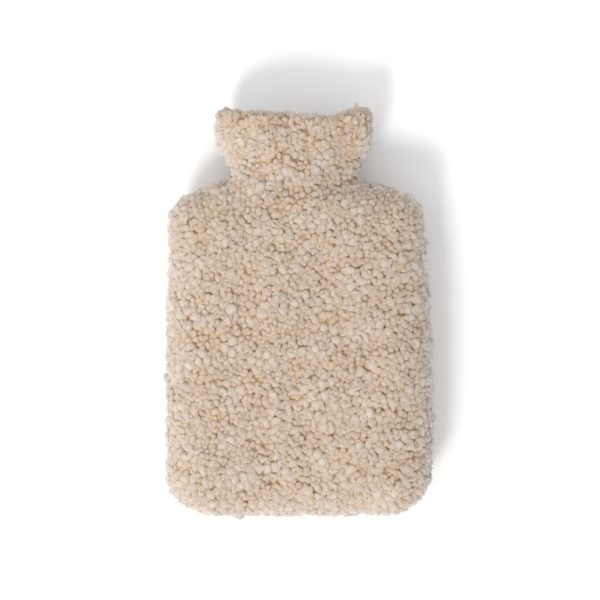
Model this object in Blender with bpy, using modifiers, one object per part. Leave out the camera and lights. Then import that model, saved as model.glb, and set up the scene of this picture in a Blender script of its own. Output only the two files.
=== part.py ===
"""Hot water bottle cover in curly sheepskin, lying on its back.

Two bottle-shaped sheepskins, wool outside, meet at a seam that runs down both sides and across
the bottom. The neck is open, and the inside is hollow. Each panel is one solid, from the hide's
inner face out to the tips of the wool.

Metres, +Z up. +Y points at the neck, +Z out of the front, +X to the right of someone who looks
down on the front. The origin is under the middle of the cover, on the surface that it lies on.
"""

import math
from collections import namedtuple

import bmesh
import bpy
from mathutils import Matrix, Vector

Corner = namedtuple("Corner", "x y radius")
Crown = namedtuple("Crown", "y front back")
Swell = namedtuple("Swell", "x y reach_x reach_y rise")

# Driving dimensions. Every y here is measured from the wool at the bottom end.
LENGTH = 0.356  # from the wool at the bottom end to the wool's tips at the mouth
WOOL_DEPTH = 0.014  # hide and wool together
BOTTOM_Y = WOOL_DEPTH  # the hide's bottom edge
SEAM_HEIGHT = 0.031  # the seam's height above the resting face
SEAM_GAP = 0.0003  # between the two panels
EDGE_RUN = 0.042  # from the seam in to where a panel has its full height
EDGE_ROUNDNESS = 2.3  # exponent of the round between the seam and the full height
MOUTH_TRIM = 0.006  # the surfaces run this far past the mouth and are cut off there
MOUTH_HALF_WIDTH = 0.057  # of the hide

# The hide's outline, right half, from the bottom to the mouth: corners and how they are rounded.
HALF_OUTLINE = (
    Corner(x=0.1005, y=BOTTOM_Y, radius=0.026),  # bottom corner
    Corner(x=0.1050, y=0.0680, radius=0.090),  # the side's widest place
    Corner(x=0.0990, y=0.2675, radius=0.024),  # shoulder
    Corner(x=0.0310, y=0.2910, radius=0.023),  # waist of the neck
    Corner(x=0.0560, y=0.3290, radius=0.035),  # flare
)

# How far each panel's hide stands from the seam's plane, away from the edges.
CROWNS = (
    Crown(y=BOTTOM_Y, front=0.0165, back=0.0190),
    Crown(y=0.110, front=0.0200, back=0.0200),
    Crown(y=0.200, front=0.0195, back=0.0200),
    Crown(y=0.258, front=0.0175, back=0.0190),
    Crown(y=0.300, front=0.0140, back=0.0145),
    Crown(y=LENGTH, front=0.0155, back=0.0160),
)

# The front is a little uneven: a long trough on the left, a long ridge on the right.
FRONT_SWELLS = (
    Swell(x=-0.058, y=0.115, reach_x=0.024, reach_y=0.075, rise=-0.0025),
    Swell(x=0.066, y=0.140, reach_x=0.022, reach_y=0.095, rise=0.0015),
    Swell(x=-0.020, y=0.225, reach_x=0.040, reach_y=0.030, rise=0.0010),
)

CELLS_ACROSS = 20
CELLS_ALONG = 36
EVEN_FROM = 0.2  # share of the way up from which the rows of cells are about evenly spaced
ARC_STEPS = 12
SMOOTH_PASSES = 4
SMOOTH_FACTOR = 0.3
WELD_DISTANCE = 0.00001
CUTTER_MARGIN = 0.05  # how far the cutters reach past the bag

WOOL_COLOUR = (0.60, 0.47, 0.37, 1.0)
WOOL_ROUGHNESS = 0.95


def clear_scene():
    """Remove what the scene starts with."""
    for thing in list(bpy.data.objects):
        bpy.data.objects.remove(thing, do_unlink=True)


def rounded_corner(before, corner, after):
    """Return the points of the arc that rounds a corner between its two neighbours."""
    tip = Vector((corner.x, corner.y))
    to_before = (Vector((before.x, before.y)) - tip).normalized()
    to_after = (Vector((after.x, after.y)) - tip).normalized()
    half_angle = to_before.angle(to_after) / 2
    centre = tip + (to_before + to_after).normalized() * corner.radius / math.sin(half_angle)
    spoke = tip + to_before * corner.radius / math.tan(half_angle) - centre
    swept = math.copysign(math.pi - 2 * half_angle, -to_before.cross(to_after))
    points = []
    for step in range(ARC_STEPS + 1):
        turn = Matrix.Rotation(swept * step / ARC_STEPS, 2)
        points.append(centre + turn @ spoke)
    return points


def right_outline():
    """Return the hide's right outline, from the middle of the bottom to past the mouth."""
    start = Corner(0.0, BOTTOM_Y, 0.0)
    end = Corner(MOUTH_HALF_WIDTH, LENGTH + MOUTH_TRIM, 0.0)
    corners = (start, *HALF_OUTLINE, end)
    points = [Vector((start.x, start.y))]
    for before, corner, after in zip(corners, corners[1:], corners[2:]):
        points.extend(rounded_corner(before, corner, after))
    points.append(Vector((end.x, end.y)))
    return points


def lengths_along(points):
    """Return each point's distance along a line of points."""
    lengths = [0.0]
    for start, end in zip(points, points[1:]):
        lengths.append(lengths[-1] + (end - start).length)
    return lengths


def point_at(points, lengths, wanted):
    """Return the point at a distance along a line of points."""
    index = 0
    while index < len(points) - 2 and lengths[index + 1] < wanted:
        index += 1
    share = (wanted - lengths[index]) / (lengths[index + 1] - lengths[index])
    return points[index].lerp(points[index + 1], min(max(share, 0.0), 1.0))


def distance_to(points, place):
    """Return how far a place lies from a line of points."""
    nearest = math.inf
    for start, end in zip(points, points[1:]):
        run = end - start
        share = (place - start).dot(run) / run.length_squared
        nearest = min(nearest, (start + run * min(max(share, 0.0), 1.0) - place).length)
    return nearest


def crown_at(y, panel):
    """Return a panel's full height at y, eased from one row of CROWNS to the next."""
    below = max((row for row in CROWNS[:-1] if row.y <= y), default=CROWNS[0])
    above = CROWNS[CROWNS.index(below) + 1]
    share = min(max((y - below.y) / (above.y - below.y), 0.0), 1.0)
    eased = share * share * (3 - 2 * share)
    start = getattr(below, panel)
    return start + (getattr(above, panel) - start) * eased


def swell_at(place):
    """Return how far the front stands above or below its even crown at a place."""
    total = 0.0
    for swell in FRONT_SWELLS:
        across = (place.x - swell.x) / swell.reach_x
        along = (place.y - swell.y) / swell.reach_y
        total += swell.rise * math.exp(-across * across - along * along)
    return total


def hide_height(place, outline, panel):
    """Return how far a panel's hide stands from the seam's plane at a place."""
    inward = distance_to(outline, Vector((abs(place.x), place.y))) / EDGE_RUN
    left_over = max(1 - inward, 0.0) ** EDGE_ROUNDNESS
    full = crown_at(place.y, panel)
    if panel == "front":
        full += swell_at(place)
    return full * (1 - left_over) ** (1 / EDGE_ROUNDNESS)


def crowd_ends(share):
    """Crowd evenly spaced shares of a line towards both of its ends."""
    return 0.5 - 0.5 * math.cos(math.pi * share)


def crowd_start(share):
    """Crowd evenly spaced shares of a line towards its start."""
    return (math.hypot(share, EVEN_FROM) - EVEN_FROM) / (math.hypot(1, EVEN_FROM) - EVEN_FROM)


def plan_places(outline):
    """Return the grid's places inside the hide's outline, row by row from the bottom.

    The grid's lower corners lie in the middle of the rounded bottom corners. Its first row
    follows the bottom edge, and its end columns follow the sides, the shoulders and the neck.
    """
    lengths = lengths_along(outline)
    corner_index = 1 + ARC_STEPS // 2
    corner = outline[corner_index]
    bottom_half = lengths[corner_index]
    places = []
    for row in range(CELLS_ALONG + 1):
        up = crowd_start(row / CELLS_ALONG)
        edge = point_at(outline, lengths, bottom_half + (lengths[-1] - bottom_half) * up)
        for column in range(CELLS_ACROSS + 1):
            across = 2 * crowd_ends(column / CELLS_ACROSS) - 1
            low = point_at(outline, lengths, bottom_half * abs(across))
            low.x = math.copysign(low.x, across)
            bow = low - Vector((corner.x * across, corner.y))
            places.append(Vector((edge.x * across, edge.y)) + bow * (1 - up))
    return places


def add_hide(surface, outline, places, panel):
    """Add one panel's hide to the surface, as a grid bent over the outline."""
    facing = 1 if panel == "front" else -1
    known = set(surface.faces)
    corners = bmesh.ops.create_grid(
        surface, x_segments=CELLS_ACROSS, y_segments=CELLS_ALONG, size=1.0
    )["verts"]
    corners.sort(key=lambda vert: (round(vert.co.y, 4), vert.co.x))
    free = []
    for index, (vert, place) in enumerate(zip(corners, places)):
        row, column = divmod(index, CELLS_ACROSS + 1)
        on_seam = row == 0 or column in (0, CELLS_ACROSS)
        height = 0.0 if on_seam else hide_height(place, outline, panel)
        vert.co = (place.x, place.y - LENGTH / 2, SEAM_HEIGHT + facing * height)
        if not on_seam:
            free.append(vert)
    for _ in range(SMOOTH_PASSES):
        bmesh.ops.smooth_vert(surface, verts=free, factor=SMOOTH_FACTOR, use_axis_z=True)
    if panel == "back":
        faces = [face for face in surface.faces if face not in known]
        bmesh.ops.reverse_faces(surface, faces=faces)


def build_bag(guides):
    """Return the whole bag as one closed mesh, hide and wool together, open at the neck."""
    outline = right_outline()
    places = plan_places(outline)
    surface = bmesh.new()
    add_hide(surface, outline, places, "front")
    add_hide(surface, outline, places, "back")
    bmesh.ops.remove_doubles(surface, verts=surface.verts, dist=WELD_DISTANCE)
    mesh = bpy.data.meshes.new("hide_surface")
    surface.to_mesh(mesh)
    surface.free()
    hide = bpy.data.objects.new("hide_surface", mesh)
    guides.objects.link(hide)
    hide.hide_render = True
    hide.display_type = "WIRE"
    wool = hide.modifiers.new("wool", "SOLIDIFY")
    wool.thickness = WOOL_DEPTH
    wool.offset = 1.0
    wool.use_even_offset = True
    evaluated = hide.evaluated_get(bpy.context.evaluated_depsgraph_get())
    return bpy.data.meshes.new_from_object(evaluated)


def add_cutter(name, bottom, top, guides):
    """Add the box that keeps the part of the bag between two heights, up to the mouth."""
    reach = LENGTH / 2 + CUTTER_MARGIN
    low = Vector((-reach, -reach, bottom))
    high = Vector((reach, LENGTH / 2, top))
    bpy.ops.mesh.primitive_cube_add(size=1.0, location=(low + high) / 2)
    box = bpy.context.object
    box.name = name
    box.data.transform(Matrix.Diagonal((*(high - low), 1.0)))
    for collection in list(box.users_collection):
        collection.objects.unlink(box)
    guides.objects.link(box)
    box.hide_render = True
    box.display_type = "WIRE"
    return box


def sheepskin_material():
    """Return the wool's material."""
    material = bpy.data.materials.new("sheepskin")
    material.use_nodes = True
    shader = material.node_tree.nodes["Principled BSDF"]
    shader.inputs["Base Color"].default_value = WOOL_COLOUR
    shader.inputs["Roughness"].default_value = WOOL_ROUGHNESS
    shader.inputs["Metallic"].default_value = 0.0
    return material


def add_panel(name, bag, cutter, parts, material):
    """Add one panel: the part of the bag inside its cutter."""
    panel = bpy.data.objects.new(name, bag.copy())
    parts.objects.link(panel)
    panel.data.materials.append(material)
    keep = panel.modifiers.new("keep", "BOOLEAN")
    keep.operation = "INTERSECT"
    keep.solver = "EXACT"
    keep.object = cutter


def new_collection(name):
    """Add a collection to the scene."""
    collection = bpy.data.collections.new(name)
    bpy.context.scene.collection.children.link(collection)
    return collection


def main():
    """Build the bag and cut it into its two panels, with the back flat where it rests."""
    clear_scene()
    parts = new_collection("hot_water_bottle_cover")
    guides = new_collection("guides")
    bag = build_bag(guides)
    material = sheepskin_material()
    above = (SEAM_HEIGHT + SEAM_GAP / 2, 2 * SEAM_HEIGHT + CUTTER_MARGIN)
    below = (0.0, SEAM_HEIGHT - SEAM_GAP / 2)
    add_panel("front_panel", bag, add_cutter("front_cut", *above, guides), parts, material)
    add_panel("back_panel", bag, add_cutter("back_cut", *below, guides), parts, material)


main()
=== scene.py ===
"""Looks of a hot water bottle cover in curly sheepskin, lying on its back.

The cover is two hides sewn round the edge, suede side in, with short curly wool outside. Every
lock of wool is its own little knob, coil, bean or pointed tip. The locks are modelled once for
each shape, then scattered over the hides, crowded against their neighbours, and pressed flat
where the cover lies on its back.
"""

import logging
import math
from dataclasses import dataclass, field
from enum import Enum
from typing import NamedTuple

import bpy
import numpy as np
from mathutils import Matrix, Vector, kdtree


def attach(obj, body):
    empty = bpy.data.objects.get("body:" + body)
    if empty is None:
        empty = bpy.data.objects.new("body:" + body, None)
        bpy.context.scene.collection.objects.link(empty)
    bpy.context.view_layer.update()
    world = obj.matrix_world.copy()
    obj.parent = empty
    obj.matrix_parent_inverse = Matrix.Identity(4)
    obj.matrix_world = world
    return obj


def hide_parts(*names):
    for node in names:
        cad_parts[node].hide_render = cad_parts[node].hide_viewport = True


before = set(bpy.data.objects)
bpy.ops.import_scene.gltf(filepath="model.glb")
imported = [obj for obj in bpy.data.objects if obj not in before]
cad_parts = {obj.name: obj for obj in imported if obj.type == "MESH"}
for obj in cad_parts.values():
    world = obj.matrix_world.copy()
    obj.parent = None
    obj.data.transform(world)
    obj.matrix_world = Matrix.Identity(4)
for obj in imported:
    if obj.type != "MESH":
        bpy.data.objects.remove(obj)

LOG = logging.getLogger("bottle_cover")
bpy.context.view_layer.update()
BODY = "root"
SEED = 20
# How far up the wool a lock's head is, as a share of the wool's length.
HEAD_SHARE = 0.75
Colour = tuple[float, float, float]


class Side(Enum):
    """The two panels, and which way each one faces."""

    FRONT = 1
    BACK = -1


class Layer(Enum):
    """Where a lock stands in the wool."""

    TOP = 0
    FILLER = 1
    RIM = 2


class Ripple(Enum):
    """The smooth random patterns that the wool follows, each with a seed of its own."""

    BEND = 3
    CRIMP = 4
    CLUMP_DEPTH = 5
    SPACING = 7
    CLUMP_LEAN = 11
    PILE = 12
    HOLLOW = 17
    RUFFLE = 31


class Corner(NamedTuple):
    """A corner of the hide's outline, and the radius that rounds it."""

    x: float
    y: float
    radius: float


class Crown(NamedTuple):
    """How far each hide stands from the seam's plane at a place along the cover."""

    y: float
    front: float
    back: float


class Swell(NamedTuple):
    """A soft rise or trough round a place in plan."""

    x: float
    y: float
    reach_x: float
    reach_y: float
    rise: float


class Shift(NamedTuple):
    """A place along or across the cover where the outline is pushed."""

    at: float
    reach: float
    push: float


class Lamp(NamedTuple):
    """A far lamp that shines from a place to the cover, its spread in degrees."""

    name: str
    x: float
    y: float
    z: float
    spread: float
    power: float


class Parting(NamedTuple):
    """A line on the front along which the wool falls apart."""

    start_x: float
    start_y: float
    end_x: float
    end_y: float
    reach: float
    depth: float


def smooth_step(values: np.ndarray) -> np.ndarray:
    """Ease values from 0 to 1."""
    shares = np.clip(values, 0.0, 1.0)
    return shares * shares * (3 - 2 * shares)


def unit(vectors: np.ndarray) -> np.ndarray:
    """Scale vectors to length one."""
    return vectors / np.maximum(np.linalg.norm(vectors, axis=-1, keepdims=True), 1e-12)


def dot(first: np.ndarray, second: np.ndarray) -> np.ndarray:
    """Multiply vectors row by row, and keep the last axis."""
    return (first * second).sum(-1, keepdims=True)


def cell_areas(grid: np.ndarray) -> np.ndarray:
    """Return the area of every cell of a grid of points."""
    diagonals = grid[1:, 1:] - grid[:-1, :-1], grid[1:, :-1] - grid[:-1, 1:]
    return np.linalg.norm(np.cross(*diagonals), axis=-1) / 2


def soft_plus(values: np.ndarray, softness: float) -> np.ndarray:
    """Return what is above zero, with a soft bend at zero."""
    return softness * np.logaddexp(0, values / softness)


def shifted(values: np.ndarray, shifts: tuple[Shift, ...]) -> np.ndarray:
    """Return how far the outline is pushed at places along or across the cover."""
    return sum(row.push * np.exp(-(((values - row.at) / row.reach) ** 2)) for row in shifts)


def swelling(places: np.ndarray, swells: tuple[Swell, ...]) -> np.ndarray:
    """Add up soft rises and troughs at places in plan.

    Args:
        places: Places whose first two coordinates are the plan's, y from the bottom end.
        swells: The rises and troughs.

    Returns:
        One height a place.
    """
    total = np.zeros(places.shape[:-1])
    for swell in swells:
        across = (places[..., 0] - swell.x) / swell.reach_x
        along = (places[..., 1] - swell.y) / swell.reach_y
        total = total + swell.rise * np.exp(-(across**2) - along**2)
    return total


# A ripple adds up this many waves, of lengths in this range, and is divided by about its highest sum.
WAVE_COUNT = 6
WAVE_LENGTHS = (0.7, 1.4)
WAVE_SUM = 2.6


def waves(points: np.ndarray, length: float, ripple: Ripple, parts: int = 3) -> np.ndarray:
    """Return smooth random values at points, each from about -1 to 1.

    Args:
        points: The points.
        length: How long the waves are, in metres.
        ripple: Which pattern to use.
        parts: How many values to give at each point.

    Returns:
        One row of values a point.
    """
    rng = np.random.default_rng(ripple.value)
    total = np.zeros((*points.shape[:-1], parts))
    for _ in range(WAVE_COUNT):
        way = unit(rng.normal(size=3)) * 2 * math.pi / (length * rng.uniform(*WAVE_LENGTHS))
        total += np.sin((points @ way)[..., None] + rng.uniform(0, 2 * math.pi, parts))
    return total / WAVE_SUM


# --------------------------------------------------------------------------- the hides' form


@dataclass(frozen=True)
class BagForm:
    """The shape of the hides, in metres. Every y is measured from the wool at the bottom end."""

    length: float = 0.356
    wool_depth: float = 0.014
    hide_end: float = 0.3430
    bottom: float = 0.0128
    seam_height: float = 0.031
    edge_run: float = 0.042
    edge_roundness: float = 2.3
    mouth_half_width: float = 0.060
    rim_pile: float = 0.011
    rim_run: float = 0.020
    pile_spread: float = 0.0011
    pile_waves: float = 0.038
    corners: tuple[Corner, ...] = (
        Corner(0.1005, 0.0140, 0.026),
        Corner(0.1050, 0.0680, 0.090),
        Corner(0.1000, 0.2675, 0.024),
        Corner(0.0310, 0.2910, 0.020),
        Corner(0.0590, 0.3290, 0.032),
    )
    crowns: tuple[Crown, ...] = (
        Crown(0.014, 0.0165, 0.0190),
        Crown(0.110, 0.0200, 0.0200),
        Crown(0.200, 0.0195, 0.0200),
        Crown(0.258, 0.0175, 0.0190),
        Crown(0.300, 0.0140, 0.0145),
        Crown(0.356, 0.0155, 0.0160),
    )
    swells: tuple[Swell, ...] = (
        Swell(-0.058, 0.115, 0.024, 0.075, -0.0025),
        Swell(0.066, 0.140, 0.022, 0.095, 0.0015),
        Swell(-0.020, 0.225, 0.040, 0.030, 0.0010),
        Swell(-0.030, 0.316, 0.022, 0.034, 0.0050),
        Swell(0.050, 0.310, 0.028, 0.034, -0.0075),
    )
    side_shifts: tuple[Shift, ...] = (
        Shift(0.028, 0.020, -0.0030),
        Shift(0.282, 0.011, -0.0060),
        Shift(0.345, 0.020, -0.0012),
    )
    mouth_shifts: tuple[Shift, ...] = (
        Shift(-0.060, 0.022, 0.0036),
        Shift(0.022, 0.022, -0.0046),
        Shift(0.058, 0.014, 0.0034),
    )
    bottom_shifts: tuple[Shift, ...] = (
        Shift(-0.105, 0.030, 0.0024),
        Shift(0.092, 0.030, -0.0024),
    )
    arc_steps: int = 12
    even_from: float = 0.2
    smoothing: int = 40
    own_share: float = 0.80
    neighbour_share: float = 0.05

    def rounded(self, before: Corner, corner: Corner, after: Corner) -> np.ndarray:
        """Round one corner of the outline.

        Args:
            before: The corner before it.
            corner: The corner to round.
            after: The corner after it.

        Returns:
            The points of the arc, from the side of the corner before.
        """
        tip = np.array([corner.x, corner.y])
        to_before = unit(np.array([before.x, before.y]) - tip)
        to_after = unit(np.array([after.x, after.y]) - tip)
        half = math.acos(float(to_before @ to_after)) / 2
        centre = tip + unit(to_before + to_after) * corner.radius / math.sin(half)
        spoke = tip + to_before * corner.radius / math.tan(half) - centre
        cross = to_before[0] * to_after[1] - to_before[1] * to_after[0]
        angles = math.copysign(math.pi - 2 * half, -cross) * np.linspace(0, 1, self.arc_steps + 1)
        cosine, sine = np.cos(angles), np.sin(angles)
        turned = np.stack([spoke[0] * cosine - spoke[1] * sine, spoke[0] * sine + spoke[1] * cosine], 1)
        return centre + turned

    def outline(self) -> np.ndarray:
        """Round the corners of the right half of the outline.

        Returns:
            Its points, from the middle of the bottom to the hide's end.
        """
        start = Corner(0.0, self.bottom, 0.0)
        end = Corner(self.mouth_half_width, self.hide_end, 0.0)
        row = (start, *self.corners, end)
        arcs = [self.rounded(*three) for three in zip(row, row[1:], row[2:])]
        return np.concatenate([[start[:2]], *arcs, [end[:2]]])

    def inward(self, places: np.ndarray) -> np.ndarray:
        """Measure how far places lie in from the outline.

        Args:
            places: Places in plan.

        Returns:
            One distance a place.
        """
        line = np.concatenate([self.outline(), [[self.mouth_half_width, 2 * self.length]]])
        starts, runs = line[:-1], np.diff(line, axis=0)
        flat = places.reshape(-1, 2).copy()
        flat[:, 0] = np.abs(flat[:, 0])
        offsets = flat[:, None] - starts
        shares = np.clip((offsets * runs).sum(-1) / (runs * runs).sum(-1), 0, 1)
        gaps = np.linalg.norm(offsets - shares[..., None] * runs, axis=-1)
        return gaps.min(1).reshape(places.shape[:-1])

    def crown(self, along: np.ndarray, side: Side) -> np.ndarray:
        """Work out a hide's full height.

        Args:
            along: Places along the cover.
            side: Which hide.

        Returns:
            One height a place.
        """
        heights = np.zeros_like(along)
        for low, high in zip(self.crowns, self.crowns[1:]):
            begin, finish = (low.front, high.front) if side is Side.FRONT else (low.back, high.back)
            share = smooth_step((along - low.y) / (high.y - low.y))
            here = (along >= low.y) | (low is self.crowns[0])
            heights = np.where(here, begin + (finish - begin) * share, heights)
        return heights

    def height(self, places: np.ndarray, side: Side) -> np.ndarray:
        """Work out how far a hide stands from the seam's plane.

        Args:
            places: Places in plan.
            side: Which hide.

        Returns:
            One height a place.
        """
        full = self.crown(places[..., 1], side)
        if side is Side.FRONT:
            full = full + swelling(places, self.swells)
        left_over = np.clip(1 - self.inward(places) / self.edge_run, 0, 1) ** self.edge_roundness
        return full * (1 - left_over) ** (1 / self.edge_roundness)

    def plan(self, across: int, along: int) -> np.ndarray:
        """Lay a grid of places inside the outline.

        Args:
            across: Cells from side to side.
            along: Cells from the bottom to the mouth.

        Returns:
            An array of rows, columns and the two coordinates of each place.
        """
        line = self.outline()
        lengths = np.concatenate([[0], np.cumsum(np.linalg.norm(np.diff(line, axis=0), axis=1))])
        turn = 1 + self.arc_steps // 2
        ease = np.hypot(np.linspace(0, 1, along + 1), self.even_from) - self.even_from
        up = (ease / ease[-1])[:, None]
        sideways = -np.cos(math.pi * np.linspace(0, 1, across + 1))[None]
        wanted = lengths[turn] + (lengths[-1] - lengths[turn]) * up
        edge_x, edge_y = (np.interp(wanted, lengths, line[:, axis]) for axis in range(2))
        low_x, low_y = (
            np.interp(lengths[turn] * np.abs(sideways), lengths, line[:, axis]) for axis in range(2)
        )
        bow_x = low_x * np.sign(sideways) - line[turn, 0] * sideways
        bow_y = low_y - line[turn, 1]
        return np.stack([edge_x * sideways + bow_x * (1 - up), edge_y + bow_y * (1 - up)], -1)

    def hide(self, side: Side, across: int, along: int) -> np.ndarray:
        """Shape a hide's inner face.

        Args:
            side: Which hide.
            across: Cells from side to side.
            along: Cells from the bottom to the mouth.

        Returns:
            A grid of points in the cover's own frame.
        """
        places = self.plan(across, along)
        heights = self.height(places, side)
        heights[0], heights[:, 0], heights[:, -1] = 0, 0, 0
        for _ in range(self.smoothing):
            inner = heights[1:-1, 1:-1]
            around = heights[:-2, 1:-1] + heights[2:, 1:-1] + heights[1:-1, :-2] + heights[1:-1, 2:]
            heights[1:-1, 1:-1] = inner * self.own_share + around * self.neighbour_share
        x, y = places[..., 0], places[..., 1]
        near_mouth = smooth_step((y - self.hide_end + self.edge_run) / self.edge_run)
        near_bottom = smooth_step((self.bottom + self.edge_run - y) / self.edge_run)
        moved_x = x + shifted(y, self.side_shifts)
        moved_y = y - self.length / 2 + shifted(x, self.mouth_shifts) * near_mouth
        moved_y += shifted(x, self.bottom_shifts) * near_bottom
        return np.stack([moved_x, moved_y, self.seam_height + side.value * heights], -1)

    def pile(self, points: np.ndarray) -> np.ndarray:
        """Work out how long the wool is.

        Args:
            points: Points of a hide.

        Returns:
            One length a point.
        """
        pile = self.wool_depth + self.pile_spread * waves(points, self.pile_waves, Ripple.PILE, 1)[..., 0]
        above = points[..., 1] + self.length / 2 - self.hide_end
        to_rim = smooth_step((above + self.rim_run) / self.rim_run)
        return pile + (self.rim_pile - pile) * to_rim

    def outward(self, points: np.ndarray, side: Side) -> np.ndarray:
        """Work out which way is outward on a hide.

        Args:
            points: The hide's grid of points.
            side: Which hide.

        Returns:
            One direction a point, level along the seam.
        """
        along, across = np.gradient(points, axis=0), np.gradient(points, axis=1)
        ways = unit(np.cross(across, along)) * side.value
        for edge in (ways[0], ways[:, 0], ways[:, -1]):
            edge[:, 2] = 0
        return unit(ways)


FORM = BagForm()


# --------------------------------------------------------------------------- shapes of the locks

# On a lock's unrolled map: how far past its end rings the middle of an end lies, and the margin there.
END_ROOM = 0.6
MAP_MARGIN = 0.1


class Strand(NamedTuple):
    """A lock's mesh as arrays, in units of its head's radius: one row a point, face or corner."""

    points: np.ndarray
    quads: np.ndarray
    caps: np.ndarray
    quad_places: np.ndarray
    cap_places: np.ndarray
    along: np.ndarray
    around: np.ndarray
    rim: np.ndarray
    coil_shade: np.ndarray


@dataclass(frozen=True)
class LockShape:
    """A lock that rises from the hide and curls into a coil.

    Sizes are in units of the head's radius. The head is round the origin, its root below.
    """

    share: float
    coil: float
    thick: float
    turns: float = 1.0
    climb: float = 0.6
    tighten: float = 0.6
    taper: float = 0.15
    root: float = 1.6
    rise: float = 0.2
    sides: int = 7
    rings: int = 12
    lobes: int = 2
    lobe_depth: float = 0.05
    twist: float = 2.0
    cap: float = 0.5
    root_cap: float = 0.5
    spins: float = 1.0
    proud: float = 0.0
    coil_shade_gain: float = 1.6

    def path(self) -> np.ndarray:
        """Wind the middle of the strand out from its root, round, and inward again.

        Returns:
            One point a ring.
        """
        share = np.linspace(0, 1, self.rings)
        turned = np.maximum(share - self.rise, 0) / (1 - self.rise)
        angle = 2 * math.pi * self.turns * turned
        out = smooth_step((share - self.rise * 0.5) / 0.2)
        reach = self.coil * out * (1 - self.tighten * turned**1.5)
        level = self.climb * (np.sin(math.pi * np.clip(turned, 0, 0.9) / 1.6) - 0.5)
        level -= self.root * np.clip(1 - share / self.rise, 0, 1)
        return np.stack([reach * np.cos(angle), reach * np.sin(angle), level], 1)

    def radii(self) -> np.ndarray:
        """Thin the strand towards its end.

        Returns:
            One radius a ring.
        """
        share = np.linspace(0, 1, self.rings)
        reach = self.thick * (0.85 + 0.15 * smooth_step(share / 0.3) - self.taper * share)
        reach[-1] *= 0.72
        return reach

    def column(self) -> bpy.types.Object:
        """Extrude a straight column, with one ring for each point of the path.

        Returns:
            The column.
        """
        bpy.ops.object.select_all(action="DESELECT")
        bpy.ops.mesh.primitive_circle_add(vertices=self.sides, radius=1.0, fill_type="TRIFAN")
        bpy.ops.object.mode_set(mode="EDIT")
        bpy.ops.mesh.select_all(action="SELECT")
        for _ in range(self.rings - 1):
            bpy.ops.mesh.extrude_region_move(TRANSFORM_OT_translate={"value": (0, 0, 1)})
        bpy.ops.mesh.select_all(action="SELECT")
        bpy.ops.mesh.normals_make_consistent(inside=False)
        bpy.ops.object.mode_set(mode="OBJECT")
        return bpy.context.object

    def corner_places(self, faces: np.ndarray, ring: np.ndarray, spoke: np.ndarray) -> np.ndarray:
        """Unroll faces of the column flat.

        Args:
            faces: The faces' points.
            ring: Each point's ring, a little past the end ring for the middle of an end.
            spoke: Each point's number round its ring, below zero for the middle of an end.

        Returns:
            The place of each corner, from 0 to 1 along and round the column.
        """
        spokes = spoke[faces].astype(float)
        real = spokes >= 0
        spread = np.where(real, spokes, 0).max(1) - np.where(real, spokes, self.sides).min(1)
        wraps = (spread > self.sides / 2)[:, None] & (spokes == 0)
        spokes = np.where(wraps, self.sides, spokes)
        middle = (spokes * real).sum(1, keepdims=True) / real.sum(1, keepdims=True)
        spokes = np.where(real, spokes, middle)
        past = END_ROOM + MAP_MARGIN
        return np.stack([(ring[faces] + past) / (self.rings - 1 + 2 * past), spokes / self.sides], -1)

    def straight_mesh(self) -> tuple[np.ndarray, np.ndarray, np.ndarray]:
        """Take the column's mesh, and clear the column away.

        Returns:
            The points, the faces round the column, and the faces that close its ends.
        """
        column = self.column()
        mesh = column.data
        points = np.empty(len(mesh.vertices) * 3)
        mesh.vertices.foreach_get("co", points)
        faces = [np.array(face.vertices) for face in mesh.polygons]
        bpy.data.objects.remove(column)
        bpy.data.meshes.remove(mesh)
        quads, caps = (np.array([face for face in faces if len(face) == corners]) for corners in (4, 3))
        return points.reshape(-1, 3), quads, caps

    @staticmethod
    def ring_ways(path: np.ndarray) -> tuple[np.ndarray, np.ndarray, np.ndarray]:
        """Carry a ring along a path without twisting it.

        Args:
            path: The points of the path.

        Returns:
            The directions ahead, sideways and across, at each point.
        """
        ahead = unit(np.gradient(path, axis=0))
        sideways = np.zeros_like(ahead)
        sideways[0] = unit(np.cross(ahead[0], [0.3, 1.0, 0.2]))
        for index in range(1, len(path)):
            before = sideways[index - 1]
            sideways[index] = unit(before - ahead[index] * (before @ ahead[index]))
        return ahead, sideways, np.cross(ahead, sideways)

    def strand(self) -> Strand:
        """Curl the column along the lock's path.

        Returns:
            The closed mesh of the lock.
        """
        straight, quads, caps = self.straight_mesh()
        path, radii = self.path(), self.radii()
        ahead, sideways, across = self.ring_ways(path)
        ring, last = np.rint(straight[:, 2]).astype(int), self.rings - 1
        around = np.arctan2(straight[:, 1], straight[:, 0])
        along = ring / last
        lobed = 1 + self.lobe_depth * np.cos(self.lobes * around + self.twist * math.pi * along)
        reach = (radii[ring] * lobed)[:, None]
        offset = sideways[ring] * straight[:, :1] + across[ring] * straight[:, 1:2]
        points = path[ring] + reach * offset
        middle = np.hypot(straight[:, 0], straight[:, 1]) < 0.5
        points[middle & (ring == 0)] -= ahead[0] * radii[0] * self.root_cap
        points[middle & (ring == last)] += ahead[last] * radii[last] * self.cap

        spoke = np.rint(np.mod(around, 2 * math.pi) * self.sides / (2 * math.pi)).astype(int)
        spoke = np.where(middle, -1, spoke % self.sides)
        ring_place = np.where(middle, np.where(ring == 0, -END_ROOM, last + END_ROOM), ring)
        # Painted shade: rim is how far below the lock's top a point lies; the finish darkens the colour by
        # it down the lock's sides, where neighbours shade it.
        top = points[:, 2].max()
        axis_out = unit(path[ring] * [1, 1, 0] + [1e-6, 0, 0])
        # Painted shade: the finish darkens the colour on the side of the strand that faces into its coil.
        inside = np.clip(-(unit(offset + 1e-9) * axis_out).sum(1), 0, 1)
        return Strand(
            points=points,
            quads=quads,
            caps=caps,
            quad_places=self.corner_places(quads, ring_place, spoke),
            cap_places=self.corner_places(caps, ring_place, spoke),
            along=along,
            around=around,
            rim=np.clip((top - points[:, 2]) / (top + 0.2), 0, 1),
            coil_shade=inside * min(self.coil * self.coil_shade_gain, 1),
        )


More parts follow.
